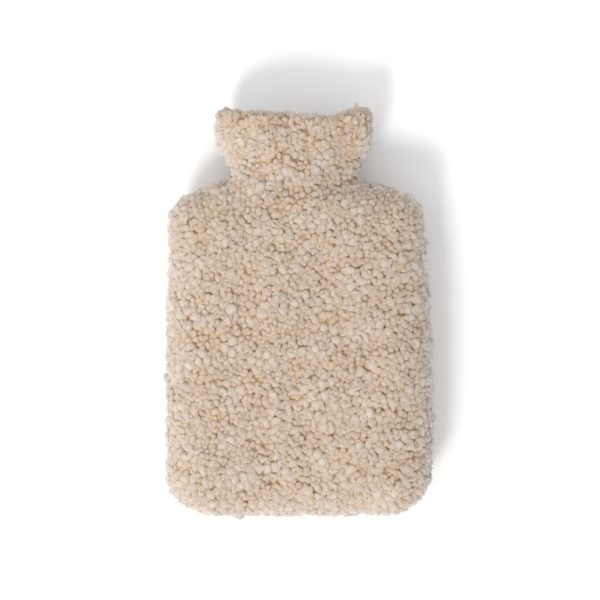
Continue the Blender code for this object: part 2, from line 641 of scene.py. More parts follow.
@dataclass(frozen=True)
class KnobShape(LockShape):
    """A lock whose end is a round knob."""

    sides: int = 10
    rings: int = 7
    cap: float = 0.2
    low: float = math.radians(-20)
    high: float = math.radians(66)

    def levels(self) -> np.ndarray:
        """Return the angles above the knob's equator at which its rings lie."""
        return np.linspace(self.low, self.high, self.rings - 1)

    def path(self) -> np.ndarray:
        """Run from the root up through the knob, which leans over a little.

        Returns:
            One point a ring.
        """
        level = np.concatenate([[-self.root], self.climb * np.sin(self.levels())])
        aside = self.coil * np.maximum(level / self.climb, 0) ** 2
        return np.stack([aside, np.zeros_like(level), level], 1)

    def radii(self) -> np.ndarray:
        """Return the knob's radius at each ring."""
        return self.thick * np.concatenate([[0.7], np.cos(self.levels())])


@dataclass(frozen=True)
class BeanShape(LockShape):
    """A lock that lies over on its side, as an arch."""

    sides: int = 8
    rings: int = 9
    spins: float = 0.0

    def path(self) -> np.ndarray:
        """Run from the root over an arch.

        Returns:
            One point a ring.
        """
        angle = math.pi * np.linspace(-0.12, 1.05, self.rings)
        level = self.climb * np.sin(angle)
        level[0] -= self.root
        return np.stack([-self.coil * np.cos(angle), np.zeros_like(angle), level - self.climb / 2], 1)

    def radii(self) -> np.ndarray:
        """Return the bean's radius along the arch."""
        share = np.linspace(0, 1, self.rings)
        return self.thick * (0.6 + 0.4 * np.sin(math.pi * np.clip(share, 0.05, 0.93)))


@dataclass(frozen=True)
class TipShape(LockShape):
    """A longer lock that bends over and ends in a point."""

    sides: int = 7
    rings: int = 8
    cap: float = 0.8

    def path(self) -> np.ndarray:
        """Run from the root to a tip that bends over.

        Returns:
            One point a ring.
        """
        share = np.linspace(0, 1, self.rings)
        bend = self.coil * share**2
        sway = 0.12 * np.sin(share * 5)
        return np.stack([bend, sway, -self.root + (self.root + self.climb) * share], 1)

    def radii(self) -> np.ndarray:
        """Return the lock's radius, which falls to almost nothing."""
        share = np.linspace(0, 1, self.rings)
        return self.thick * (0.85 + 0.25 * share) * (1 - share**2.8) + 0.08


SHAPES: dict[Layer, tuple[LockShape, ...]] = {
    Layer.TOP: (
        KnobShape(0.17, coil=0.15, thick=0.95, climb=0.80, lobes=1, lobe_depth=0.14, twist=3),
        KnobShape(0.16, coil=0.30, thick=0.92, climb=0.85, lobes=2, lobe_depth=0.10, twist=3),
        KnobShape(0.16, coil=0.10, thick=1.00, climb=0.70, lobes=3, lobe_depth=0.07, twist=-2),
        LockShape(0.09, coil=0.38, thick=0.62, turns=1.05, climb=0.35, tighten=0.60),
        LockShape(0.09, coil=0.40, thick=0.60, turns=-1.00, climb=0.30, tighten=0.50),
        LockShape(0.07, coil=0.46, thick=0.56, turns=0.90, climb=0.35, tighten=0.30),
        LockShape(0.06, coil=0.46, thick=0.55, turns=-0.85, climb=0.30, tighten=0.25),
        BeanShape(0.08, coil=0.50, thick=0.74, climb=0.45, root=0.8),
        BeanShape(0.07, coil=0.66, thick=0.70, climb=0.55, root=0.8, lobe_depth=0.10),
    ),
    Layer.FILLER: (
        KnobShape(0.6, coil=0.20, thick=1.00, climb=0.90, sides=8, rings=5, lobe_depth=0.08),
        KnobShape(0.4, coil=0.40, thick=0.95, climb=1.00, sides=8, rings=5, lobe_depth=0.10),
    ),
    Layer.RIM: (
        KnobShape(0.25, coil=0.30, thick=0.92, climb=0.95, lobes=2, lobe_depth=0.10, twist=3),
        LockShape(0.20, coil=0.38, thick=0.60, turns=1.15, climb=0.70, tighten=0.75),
        LockShape(0.15, coil=0.44, thick=0.54, turns=-0.95, climb=0.70, tighten=0.45),
        TipShape(0.07, coil=0.60, thick=0.90, climb=1.50, root=1.2, proud=0.5),
        TipShape(0.07, coil=1.10, thick=0.85, climb=1.30, root=1.2, proud=0.5),
    ),
}


# --------------------------------------------------------------------------- places of the locks


class Spots(NamedTuple):
    """Where the locks stand: one row a lock."""

    root: np.ndarray
    way: np.ndarray
    pile: np.ndarray
    side: np.ndarray
    layer: np.ndarray

    @property
    def head(self) -> np.ndarray:
        """Return the places of the heads, some way up the wool."""
        return self.root + self.way * self.pile[:, None] * HEAD_SHARE

    @property
    def along(self) -> np.ndarray:
        """Return how far up the cover the roots are."""
        return self.root[:, 1] + FORM.length / 2

    def pick(self, rows: np.ndarray) -> "Spots":
        """Return some of the spots."""
        return Spots(*(values[rows] for values in self))


@dataclass
class Fleece:
    """The crowded places of the locks on both hides and round the mouth."""

    spacing: float = 0.0060
    spread: float = 0.15
    spread_waves: float = 0.030
    spread_limits: tuple[float, float] = (0.7, 1.4)
    neck_from: float = 0.262
    neck_run: float = 0.033
    neck_share: float = 0.84
    neck_closer: float = 0.15
    candidates: int = 70000
    candidate_area: float = 0.19
    cells_across: int = 80
    cells_along: int = 130
    rim_turn: float = math.radians(105)
    rim_rows: int = 10
    passes: int = 2
    push: float = 0.35
    rest_share: float = 0.58
    neighbours: int = 7
    gap: float = 0.0034
    filler_spacing: float = 0.0040
    rng: np.random.Generator = field(default_factory=lambda: np.random.default_rng(SEED))

    def grid_spots(self, points: np.ndarray, ways: np.ndarray, side: Side, layer: Layer) -> Spots:
        """Drop random spots on a grid of points.

        Args:
            points: The grid, of rows and columns.
            ways: The outward directions at its points.
            side: Which hide the grid is on.
            layer: Which layer the spots are for.

        Returns:
            The spots.
        """
        heads = points + ways * FORM.wool_depth * HEAD_SHARE
        area = cell_areas(heads).ravel()
        count = int(area.sum() * self.candidates / self.candidate_area)
        cells = self.rng.choice(len(area), count, p=area / area.sum())
        row, column = np.divmod(cells, heads.shape[1] - 1)
        u, v = self.rng.random((2, count, 1))
        root, way = (
            (grid[row, column] * (1 - u) + grid[row, column + 1] * u) * (1 - v)
            + (grid[row + 1, column] * (1 - u) + grid[row + 1, column + 1] * u) * v
            for grid in (points, ways)
        )
        sides, layers = np.full(count, side.value), np.full(count, layer.value)
        return Spots(root, unit(way), FORM.pile(root), sides, layers)

    def everywhere(self) -> Spots:
        """Drop random spots on both hides and round the mouth's edge.

        Returns:
            The spots, in random order.
        """
        found = []
        for side in Side:
            points = FORM.hide(side, self.cells_across, self.cells_along)
            ways = FORM.outward(points, side)
            found.append(self.grid_spots(points, ways, side, Layer.TOP))
            turns = np.linspace(0, self.rim_turn, self.rim_rows)[:, None, None]
            rim_ways = unit(ways[-1] * np.cos(turns) + np.array([0, 1, 0]) * np.sin(turns))
            rim = np.broadcast_to(points[-1], rim_ways.shape)
            found.append(self.grid_spots(rim, rim_ways, side, Layer.RIM))
        spots = Spots(*(np.concatenate(rows) for rows in zip(*found)))
        return spots.pick(self.rng.permutation(len(spots.root)))

    def keep_apart(self, heads: np.ndarray, wanted: np.ndarray, free: np.ndarray) -> np.ndarray:
        """Choose heads that keep their distance.

        Args:
            heads: The heads to choose from.
            wanted: How far each one keeps the others away.
            free: Which ones may be chosen.

        Returns:
            The numbers of the chosen ones.
        """
        finder, free, kept = kd_tree(heads), free.copy(), []
        for index, head in enumerate(heads):
            if free[index]:
                kept.append(index)
                for _, near, _ in finder.find_range(head, wanted[index]):
                    free[near] = False
        return np.array(kept)

    def neck(self, along: np.ndarray) -> np.ndarray:
        """Return 1 on the neck and 0 on the body, for places along the cover."""
        return smooth_step((along - self.neck_from) / self.neck_run)

    def tops(self, every: Spots, neck: np.ndarray) -> Spots:
        """Choose where the top locks and those of the rim stand, and even out their gaps.

        Args:
            every: The spots to choose from.
            neck: How far each of them is up on the neck, from 0 to 1.

        Returns:
            The chosen spots.
        """
        heads = every.head
        ripple = waves(heads, self.spread_waves, Ripple.SPACING, 1)[:, 0]
        wanted = self.spacing * (1 + self.spread * ripple * 0.5)
        wanted *= self.rng.normal(1, self.spread * 0.5, len(heads)).clip(*self.spread_limits)
        wanted *= 1 - (1 - self.neck_share) * neck
        rows = self.keep_apart(heads, wanted, np.ones(len(heads), bool))
        tops, wanted = every.pick(rows), wanted[rows]
        finder = kd_tree(heads)
        for _ in range(self.passes):
            head = tops.head
            near = nearest(head, 6)
            offset = head[:, None] - head[near]
            gap = np.linalg.norm(offset, axis=-1, keepdims=True)
            rest = ((wanted[:, None] + wanted[near]) * self.rest_share)[..., None]
            moved = head + (unit(offset) * np.maximum(rest - gap, 0)).sum(1) * self.push
            anchor = every.pick(np.array([finder.find(place)[1] for place in moved]))
            slide = moved - anchor.head
            slide -= anchor.way * dot(slide, anchor.way)
            tops = anchor._replace(root=anchor.root + slide)
        return tops

    def fillers(self, every: Spots, tops: Spots, neck: np.ndarray) -> Spots:
        """Choose where the smaller locks stand that fill the gaps.

        Args:
            every: The spots to choose from.
            tops: The spots of the top locks.
            neck: How far each spot to choose from is up on the neck, from 0 to 1.

        Returns:
            The chosen spots.
        """
        heads = every.head
        finder = kd_tree(tops.head)
        room = np.array([finder.find(head)[2] for head in heads])
        apart = np.full(len(heads), self.filler_spacing)
        rows = self.keep_apart(heads, apart, room > self.gap * (1 - self.neck_closer * neck))
        return every.pick(rows)._replace(layer=np.full(len(rows), Layer.FILLER.value))

    def scatter(self) -> tuple[Spots, np.ndarray]:
        """Choose the places of all locks: first the tops, then the fillers between them.

        Returns:
            The spots, and the nearest tops to each top as rows of numbers. A filler's row holds
            only its own number, so nothing presses it.
        """
        every = self.everywhere()
        neck = self.neck(every.along)
        tops = self.tops(every, neck)
        fillers = self.fillers(every, tops, neck)
        near = nearest(tops.head, self.neighbours)
        own = np.arange(len(fillers.root)) + len(near)
        spots = Spots(*(np.concatenate(pair) for pair in zip(tops, fillers)))
        return spots, np.concatenate([near, np.tile(own[:, None], self.neighbours)])


def kd_tree(points: np.ndarray) -> kdtree.KDTree:
    """Make a finder of the nearest points.

    Args:
        points: The points to find.

    Returns:
        The finder, which gives a point's place, number and distance.
    """
    tree = kdtree.KDTree(len(points))
    for index, point in enumerate(points):
        tree.insert(point, index)
    tree.balance()
    return tree


def nearest(points: np.ndarray, count: int) -> np.ndarray:
    """Return the numbers of each point's nearest neighbours."""
    tree = kd_tree(points)
    return np.array([[near[1] for near in tree.find_n(point, count + 1)[1:]] for point in points])


# --------------------------------------------------------------------------- the wool


class Crowd(NamedTuple):
    """How every lock stands among the others: one row a lock."""

    spots: Spots
    near: np.ndarray
    size: np.ndarray
    across: np.ndarray
    stretch: np.ndarray
    sink: np.ndarray
    lean: np.ndarray
    tone: np.ndarray
    shape: np.ndarray


class Part(NamedTuple):
    """Placed copies of one lock."""

    strand: Strand
    points: np.ndarray
    lock: np.ndarray
    hull: np.ndarray
    patterns: dict[str, np.ndarray]


@dataclass
class Wool:
    """All the locks, as joined meshes."""

    fleece: Fleece = field(default_factory=Fleece)
    fill: float = 1.78
    radii: tuple[float, float] = (0.0022, 0.0062)
    filler_radii: tuple[float, float] = (0.0027, 0.0035)
    stretch_power: float = 0.2
    most_stretch: float = 1.16
    lean: float = 0.16
    clump_lean: float = 0.12
    lean_waves: float = 0.030
    sink: float = 0.0015
    sink_spread: tuple[float, float] = (1.4, 2.6)
    clump_sink: float = 0.0011
    clump_waves: float = 0.027
    hollow_depth: float = 0.0026
    hollow_waves: float = 0.016
    hollow_power: float = 1.5
    filler_sinks: tuple[float, float] = (0.0008, 0.0020)
    ragged: float = 0.0011
    squeeze: float = 0.5
    squeeze_early: float = 0.8
    softness: float = 0.0004
    bend: float = 0.0004
    bend_waves: float = 0.009
    crimp: float = 0.00026
    crimp_waves: float = 0.0032
    root_level: float = 0.0018
    floor_softness: float = 0.0007
    top_level: float = 1.2
    # Painted light: how much paler the colour of sideways-facing locks is painted.
    edge_light: float = 0.60
    edge_power: float = 1.2
    edge_level: float = 1.35
    hull_share: float = 0.56
    rim_lift: float = 0.8
    tone_shift: float = 7.0
    bands: tuple[float, ...] = (0.0, 0.118, 0.222, 0.5)
    band_names: tuple[str, ...] = ("lower", "middle", "upper")
    partings: tuple[Parting, ...] = (
        Parting(-0.0580, 0.3284, -0.0371, 0.3193, 0.0035, 0.0014),
        Parting(0.0067, 0.3343, 0.0090, 0.3159, 0.0035, 0.0014),
        Parting(0.0389, 0.3250, 0.0412, 0.3075, 0.0045, 0.0016),
    )
    rng: np.random.Generator = field(default_factory=lambda: np.random.default_rng(SEED + 1))

    def shapes(self, layers: np.ndarray) -> np.ndarray:
        """Pick a shape for every lock.

        Args:
            layers: The layer of each lock.

        Returns:
            The number of each lock's shape, counted through all the layers.
        """
        picked, first = np.zeros(len(layers), int), 0
        for layer, shapes in SHAPES.items():
            rows = np.flatnonzero(layers == layer.value)
            shares = np.array([shape.share for shape in shapes])
            picked[rows] = first + self.rng.choice(len(shapes), len(rows), p=shares / shares.sum())
            first += len(shapes)
        return picked

    def part_ways(self, spots: Spots) -> tuple[np.ndarray, np.ndarray]:
        """Let the wool fall apart along the partings.

        Args:
            spots: Where the locks stand.

        Returns:
            How far each lock leans, and how much lower it stands.
        """
        lean, sink = np.zeros_like(spots.root), np.zeros(len(spots.root))
        places = np.stack([spots.root[:, 0], spots.along], 1)
        for line in self.partings:
            start = np.array([line.start_x, line.start_y])
            run = np.array([line.end_x, line.end_y]) - start
            share = np.clip(((places - start) @ run) / (run @ run), 0, 1)
            offset = places - start - share[:, None] * run
            gap = np.linalg.norm(offset, axis=1)
            here = np.exp(-((gap / line.reach) ** 2)) * (spots.side > 0)
            sink += here * line.depth
            lean[:, :2] += unit(offset) * (here * gap / line.reach)[:, None]
        return lean, sink

    def soft_ways(self, spots: Spots) -> np.ndarray:
        """Return the directions that soften the shading, turned towards the panel's face at the rim."""
        lift = self.rim_lift * (spots.layer == Layer.RIM.value) * spots.side
        return unit(spots.way + lift[:, None] * np.array([0.0, 0.0, 1.0]))

    def widths(self, spots: Spots, near: np.ndarray) -> tuple[np.ndarray, np.ndarray, np.ndarray]:
        """Decide how wide every lock is, from the gaps round it.

        Args:
            spots: Where the locks stand.
            near: The nearest tops to each one.

        Returns:
            Each lock's radius, the way in which it is widest, and how far it is stretched that way.
        """
        count, filler = len(spots.root), spots.layer == Layer.FILLER.value
        offset = spots.head[near] - spots.head[:, None]
        gap = np.linalg.norm(offset, axis=-1)
        size = np.clip(gap[:, :6].mean(1) / 2 * self.fill, *self.radii)
        size = np.where(filler, self.rng.uniform(*self.filler_radii, count), size)
        longest = offset[np.arange(count), gap[:, :6].argmax(1)]
        longest = np.where(filler[:, None], self.rng.normal(size=(count, 3)), longest)
        across = unit(longest - spots.way * dot(longest, spots.way))
        stretch = (gap[:, 5] / np.maximum(gap[:, 0], 1e-9)) ** self.stretch_power
        return size, across, np.where(filler, 1.0, np.clip(stretch, 1.0, self.most_stretch))

    def sinks(self, spots: Spots, part_sink: np.ndarray) -> np.ndarray:
        """Decide how much lower than the full wool every lock stands.

        Args:
            spots: Where the locks stand.
            part_sink: How much lower the partings make each one.

        Returns:
            One depth a lock.
        """
        count, filler = len(spots.root), spots.layer == Layer.FILLER.value
        sink = self.rng.beta(*self.sink_spread, count) * self.sink
        sink += (waves(spots.root, self.clump_waves, Ripple.CLUMP_DEPTH, 1)[:, 0] + 1) * self.clump_sink
        hollow = np.clip(waves(spots.root, self.hollow_waves, Ripple.HOLLOW, 1)[:, 0], 0, 1)
        sink += hollow**self.hollow_power * self.fleece.neck(spots.along) * self.hollow_depth
        sink = np.where(filler, self.rng.uniform(*self.filler_sinks, count), sink) + part_sink
        return sink + self.rng.normal(size=count) * self.ragged * (1 - np.abs(spots.way[:, 2]))

    def crowd(self) -> Crowd:
        """Decide the size, shape, lean and depth of every lock.

        Returns:
            How every lock stands among the others.
        """
        spots, near = self.fleece.scatter()
        size, across, stretch = self.widths(spots, near)
        part_lean, part_sink = self.part_ways(spots)
        sink = self.sinks(spots, part_sink)
        lean = waves(spots.root, self.lean_waves, Ripple.CLUMP_LEAN) * self.clump_lean + part_lean
        lean += self.rng.normal(scale=self.lean, size=lean.shape)
        tone = self.rng.random(len(size))
        return Crowd(spots, near, size, across, stretch, sink, lean, tone, self.shapes(spots.layer))

    def build(self) -> list[bpy.types.Object]:
        """Shape, place, crowd and join the locks.

        Returns:
            The pieces.
        """
        crowd = self.crowd()
        strands = [(shape, shape.strand()) for shapes in SHAPES.values() for shape in shapes]
        LOG.info("locks by layer: %s", np.bincount(crowd.spots.layer))
        pieces = []
        for side, start in ((Side.FRONT, "front"), (Side.BACK, "back")):
            for low, high, name in zip(self.bands, self.bands[1:], self.band_names):
                along = crowd.spots.along
                mask = (crowd.spots.side == side.value) & (along >= low) & (along < high)
                parts, first = [], 0
                for number, (shape, strand) in enumerate(strands):
                    rows = np.flatnonzero(mask & (crowd.shape == number))
                    if len(rows):
                        parts.append(self.place(shape, strand, crowd, rows, first))
                        first += len(rows)
                pieces.append(joined_mesh(f"{start}_wool_{name}", parts, self.hull_share))
        return pieces

    def upright(self, shape: LockShape, strand: Strand, crowd: Crowd, rows: np.ndarray) -> np.ndarray:
        """Stand copies of one lock at some of the spots.

        Args:
            shape: The lock's shape.
            strand: The lock's mesh.
            crowd: How every lock stands.
            rows: Which locks to place.

        Returns:
            The points of the copies, by copy.
        """
        count, spots = len(rows), crowd.spots
        way, size = spots.way[rows], crowd.size[rows]
        up = unit(way + crowd.lean[rows] - way * dot(crowd.lean[rows], way))
        x_way = unit(crowd.across[rows] - up * dot(crowd.across[rows], up))
        stretch = crowd.stretch[rows, None]
        axes = np.stack([x_way * stretch, np.cross(up, x_way) / stretch, up], 1) * size[:, None, None]
        spin = self.rng.uniform(0, 2 * math.pi, count) * shape.spins
        cosine, sine = np.cos(spin)[:, None], np.sin(spin)[:, None]
        x, y, z = strand.points.T
        turned = [x * cosine - y * sine, x * sine + y * cosine, np.broadcast_to(z, (count, len(z)))]
        reach = spots.pile[rows] - (z.max() - shape.proud) * size - crowd.sink[rows]
        centre = spots.root[rows] + way * reach[:, None]
        return np.einsum("npk,nkc->npc", np.stack(turned, -1), axes) + centre[:, None]

    def pressed(self, points: np.ndarray, crowd: Crowd, rows: np.ndarray) -> np.ndarray:
        """Press locks flatter where they meet their neighbours.

        Args:
            points: The points of the locks, by lock.
            crowd: How every lock stands.
            rows: Which locks these are.

        Returns:
            The moved points.
        """
        heads, way, size = crowd.spots.head, crowd.spots.way[rows], crowd.size[rows]
        for other in crowd.near[rows].T:
            toward = heads[other] - heads[rows]
            flat = unit(toward - way * dot(toward, way))
            middle = heads[rows] + toward * (size / (size + crowd.size[other]))[:, None]
            over = ((points - middle[:, None]) * flat[:, None]).sum(-1) + self.softness * self.squeeze_early
            points = points - flat[:, None] * (soft_plus(over, self.softness) * self.squeeze)[..., None]
        return points

    def place(self, shape: LockShape, strand: Strand, crowd: Crowd, rows: np.ndarray, first: int) -> Part:
        """Place copies of one lock, and record how each of their points is coloured.

        Args:
            shape: The lock's shape.
            strand: The lock's mesh.
            crowd: How every lock stands.
            rows: Which locks to place.
            first: The number of the first of these locks in its piece.

        Returns:
            The placed copies.
        """
        spots = crowd.spots.pick(rows)
        points = self.pressed(self.upright(shape, strand, crowd, rows), crowd, rows)
        height = ((points - spots.root[:, None]) * spots.way[:, None]).sum(-1)
        points = points + spots.way[:, None] * np.maximum(self.root_level - height, 0)[..., None]
        height = np.maximum(height, self.root_level).ravel()
        points = points.reshape(-1, 3)
        bend = waves(points, self.bend_waves, Ripple.BEND) * self.bend
        points = points + bend + waves(points, self.crimp_waves, Ripple.CRIMP) * self.crimp
        points[:, 2] = soft_plus(points[:, 2], self.floor_softness)

        count, per_lock = len(rows), len(strand.points)
        # Painted light: the colour of locks that face sideways is paled a little, as if more light reached
        # down between them.
        light = np.repeat(self.edge_light * (1 - np.abs(spots.way[:, 2])) ** self.edge_power, per_lock)
        level = np.clip(height / np.repeat(spots.pile, per_lock), 0, self.top_level)
        tone = np.repeat(crowd.tone[rows], per_lock)
        along, around = np.tile(strand.along, count), np.tile(strand.around, count)
        patterns = {
            "level": level + (self.edge_level - level) * light,
            # Painted shade: darker down each lock's sides, less so on locks that face sideways.
            "rim": np.tile(strand.rim, count) * (1 - light),
            # Painted shade: darker inside each coil.
            "coil_shade": np.tile(strand.coil_shade, count),
            "tone": tone,
            "strand": np.stack([along + tone * self.tone_shift, np.cos(around), np.sin(around)], 1),
        }
        hull = np.repeat(self.soft_ways(spots), per_lock, axis=0)
        return Part(strand, points, first + np.arange(count), hull, patterns)


# The margin round a lock in its cell of the unrolled map, as a share of the cell.
CELL_MARGIN = 0.06


def unrolled(places: np.ndarray, lock: np.ndarray, cells: int) -> np.ndarray:
    """Lay the unrolled faces of many locks in the cells of a square.

    Args:
        places: Each corner's place on an unrolled lock, by face.
        lock: The number of each lock.
        cells: How many cells the square has along a side.

    Returns:
        The place of every corner of every lock.
    """
    row, column = np.divmod(lock, cells)
    corner = np.stack([column, row], 1)[:, None, None]
    return ((corner + CELL_MARGIN + (1 - 2 * CELL_MARGIN) * places[None]) / cells).reshape(-1, 2)


def add_patterns(mesh: bpy.types.Mesh, parts: list[Part]) -> None:
    """Give a mesh the values that its finish reads at each point.

    Args:
        mesh: The mesh of the joined locks.
        parts: The placed locks.
    """
    for name in parts[0].patterns:
        values = np.concatenate([part.patterns[name] for part in parts]).astype(np.float32)
        kind, place = ("FLOAT", "value") if values.ndim == 1 else ("FLOAT_VECTOR", "vector")
        mesh.attributes.new(name, kind, "POINT").data.foreach_set(place, values.ravel())


def soften(mesh: bpy.types.Mesh, hull: np.ndarray, share: float) -> None:
    """Turn the shading normals towards the hide's own, so that the wool looks soft.

    Args:
        mesh: The mesh of the joined locks.
        hull: The direction to turn to at each point.
        share: How far to turn.
    """
    own = np.empty(len(mesh.vertices) * 3)
    mesh.vertex_normals.foreach_get("vector", own)
    mixed = unit(own.reshape(-1, 3) * (1 - share) + hull * share)
    mesh.normals_split_custom_set_from_vertices(mixed.tolist())


def joined_mesh(name: str, parts: list[Part], hull_share: float) -> bpy.types.Object:
    """Join placed locks into one object.

    Args:
        name: The new object's name.
        parts: The placed locks.
        hull_share: How far the shading turns to the hide's own directions.

    Returns:
        The object, smooth, with its patterns and its unrolled map.
    """
    base, corners, sizes, map_places = 0, [], [], []
    cells = math.ceil(math.sqrt(sum(len(part.lock) for part in parts)))
    for part in parts:
        strand, count = part.strand, len(part.lock)
        starts = base + (np.arange(count) * len(strand.points))[:, None, None]
        for faces, places in ((strand.quads, strand.quad_places), (strand.caps, strand.cap_places)):
            corners.append((faces + starts).ravel())
            sizes.append(np.full(len(faces) * count, faces.shape[1]))
            map_places.append(unrolled(places, part.lock, cells))
        base += len(part.points)
    corners, sizes, map_places = map(np.concatenate, (corners, sizes, map_places))
    points = np.concatenate([part.points for part in parts])
    mesh = bpy.data.meshes.new(name)
    mesh.vertices.add(len(points))
    mesh.vertices.foreach_set("co", points.astype(np.float32).ravel())
    mesh.loops.add(len(corners))
    mesh.loops.foreach_set("vertex_index", corners.astype(np.int32))
    mesh.polygons.add(len(sizes))
    starts = np.concatenate([[0], np.cumsum(sizes)[:-1]])
    mesh.polygons.foreach_set("loop_start", starts.astype(np.int32))
    mesh.polygons.foreach_set("use_smooth", np.ones(len(sizes), bool))
    mesh.uv_layers.new(name="OFBake").uv.foreach_set("vector", map_places.astype(np.float32).ravel())
    add_patterns(mesh, parts)
    mesh.update(calc_edges=True)
    mesh.validate()
    soften(mesh, np.concatenate([part.hull for part in parts]), hull_share)
    piece = bpy.data.objects.new(name, mesh)
    bpy.context.scene.collection.objects.link(piece)
    return piece


# --------------------------------------------------------------------------- hides and underwool


@dataclass
class Sheet:
    """A closed layer over a hide: the hide itself, or the short wool that grows close to it.

    Its outer face lies at a share of the wool's length, or else one thickness out from the hide's
    inner face.
    """

    name: str
    side: Side
    thickness: float
    pile_share: float = 0.0
    ruffle: float = 0.10
    ruffle_waves: float = 0.011
    floor_gap: float = 0.0006
    floor_softness: float = 0.0005
    cells_across: int = 40
    cells_along: int = 64

    def grid(self) -> np.ndarray:
        """Shape the sheet's outer face.

        Returns:
            A grid of points.
        """
        points = FORM.hide(self.side, self.cells_across, self.cells_along)
        rise = np.full((*points.shape[:2], 1), self.thickness)
        if self.pile_share:
            ruffle = 1 + self.ruffle * waves(points, self.ruffle_waves, Ripple.RUFFLE, 1)
            rise = FORM.pile(points)[..., None] * self.pile_share * ruffle
        points = points + FORM.outward(points, self.side) * rise
        points[..., 2] = soft_plus(points[..., 2] - self.floor_gap, self.floor_softness) + self.floor_gap
        return points

    def flat_size(self) -> tuple[float, float, float]:
        """Roll the sheet out flat and measure it.

        Returns:
            Its width, its length and its area.
        """
        points = FORM.hide(self.side, self.cells_across, self.cells_along)
        across = np.linalg.norm(np.diff(points, axis=1), axis=-1).sum(1).max()
        along = np.linalg.norm(np.diff(points, axis=0), axis=-1).sum(0).max()
        return float(across), float(along), float(cell_areas(points).sum())

    def build(self) -> bpy.types.Object:
        """Shape a grid to the hide and give it its thickness.

        Returns:
            The sheet, closed and smooth.
        """
        bpy.ops.object.select_all(action="DESELECT")
        bpy.ops.mesh.primitive_grid_add(
            x_subdivisions=self.cells_across, y_subdivisions=self.cells_along, size=1.0
        )
        sheet = bpy.context.object
        sheet.name = sheet.data.name = self.name
        flat = np.empty(len(sheet.data.vertices) * 3)
        sheet.data.vertices.foreach_get("co", flat)
        flat = flat.reshape(-1, 3)
        column = np.rint((flat[:, 0] + 0.5) * self.cells_across).astype(int)
        row = np.rint((flat[:, 1] + 0.5) * self.cells_along).astype(int)
        sheet.data.vertices.foreach_set("co", self.grid()[row, column].ravel())
        if self.side is Side.BACK:
            bpy.ops.object.mode_set(mode="EDIT")
            bpy.ops.mesh.select_all(action="SELECT")
            bpy.ops.mesh.flip_normals()
            bpy.ops.object.mode_set(mode="OBJECT")
        solidify = sheet.modifiers.new("thickness", "SOLIDIFY")
        solidify.thickness = self.thickness
        solidify.offset = -1
        bpy.ops.object.modifier_apply(modifier=solidify.name)
        bpy.ops.object.shade_smooth()
        return sheet


# --------------------------------------------------------------------------- finishes


